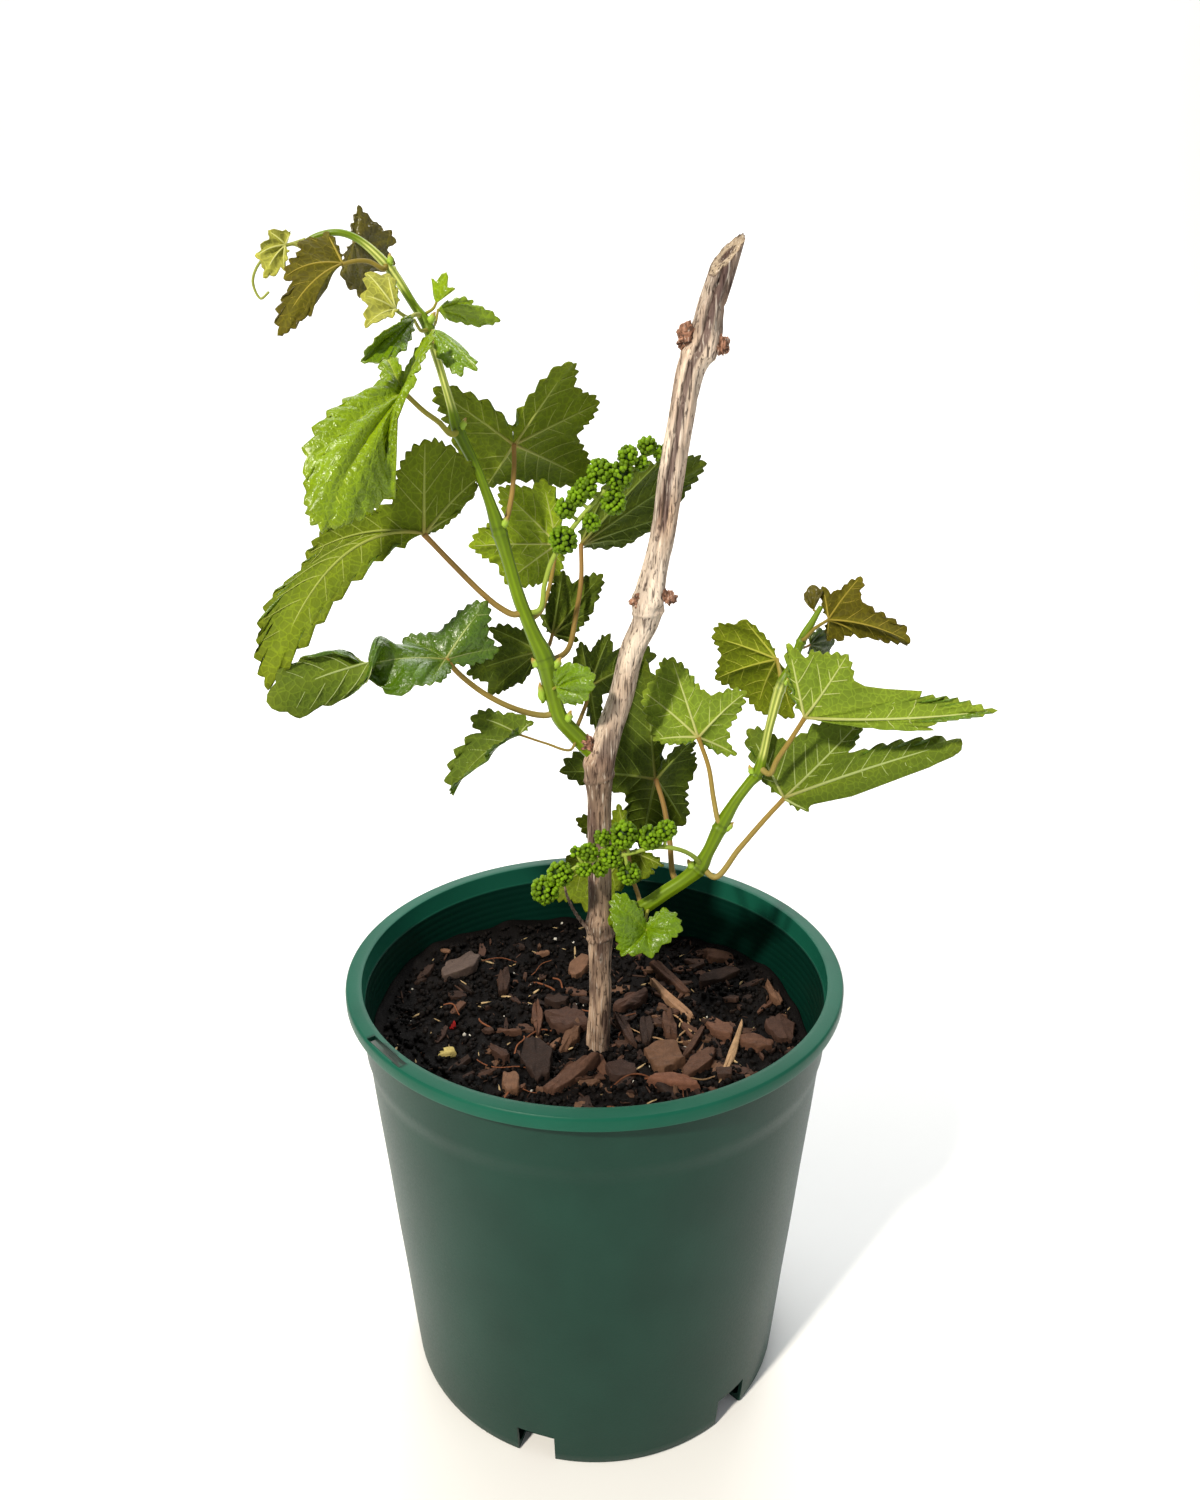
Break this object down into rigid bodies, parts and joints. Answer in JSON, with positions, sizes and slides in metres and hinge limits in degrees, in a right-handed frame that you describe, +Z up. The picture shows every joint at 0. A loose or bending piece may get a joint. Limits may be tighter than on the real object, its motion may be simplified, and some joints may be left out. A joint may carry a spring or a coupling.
{
  "type": "potted grapevine",
  "caption": "Grapevine in flower in a round nursery pot: a woody cane with leafy green side shoots, a curling tip and hanging clusters of flower buds.",
  "frame": {"origin": "middle of the underside of the pot's base, on the ground", "axes": "+Z up along the pot's axis; -Y towards the viewer; +X to the viewer's right, the side of the lower flower cluster"},
  "size_m": [0.2407, 0.2, 0.4609],
  "materials": {
    "pot": "dark green polypropylene, satin, with fine ridges",
    "mix": "moist dark potting mix with bark chips",
    "cane": "grey brown bark with long cracks",
    "shoot": "smooth yellow green young stem",
    "flower": "matt yellow green flower buds",
    "leaf": "glossy upper side of a leaf",
    "underside": "downy pale underside of a leaf",
    "dark": "leaf in shade, deep green",
    "bronze": "young leaf tinged bronze"
  },
  "bodies": {
    "root": {"pot": "pot", "potting_mix": "mix", "cane": "cane", "shoot_left": "shoot", "shoot_right": "shoot", "leaf_low_hanging": "underside", "leaf_low_twisted": "leaf", "leaf_long_drooping": "underside", "leaf_glossy": "leaf", "leaf_upper_back": "underside", "leaf_behind_flowers": "underside", "leaf_behind_cane": "dark", "leaf_dark_inner": "dark", "leaf_dark_left": "dark", "leaf_dark_centre": "dark", "leaf_bright_bud": "leaf", "leaf_silvery": "underside", "leaf_small_drooping": "underside", "leaf_lateral_curl": "underside", "leaf_lateral_long": "underside", "leaf_lateral_low": "underside", "leaf_tip_hanging": "underside", "leaf_tip_end": "underside", "leaf_tip_back": "underside", "leaf_pot_front": "leaf", "leaf_pot_back": "underside", "leaf_dark_cane": "dark", "leaf_pale_centre": "underside", "leaf_right_long": "underside", "leaf_right_top": "underside", "leaf_yellow_back": "underside", "leaf_bronze_tip": "bronze", "leaf_bronze_bud": "bronze", "leaf_dark_right": "dark", "flower_cluster_upper": "flower", "flower_cluster_lower": "flower"}
  },
  "joints": []
}
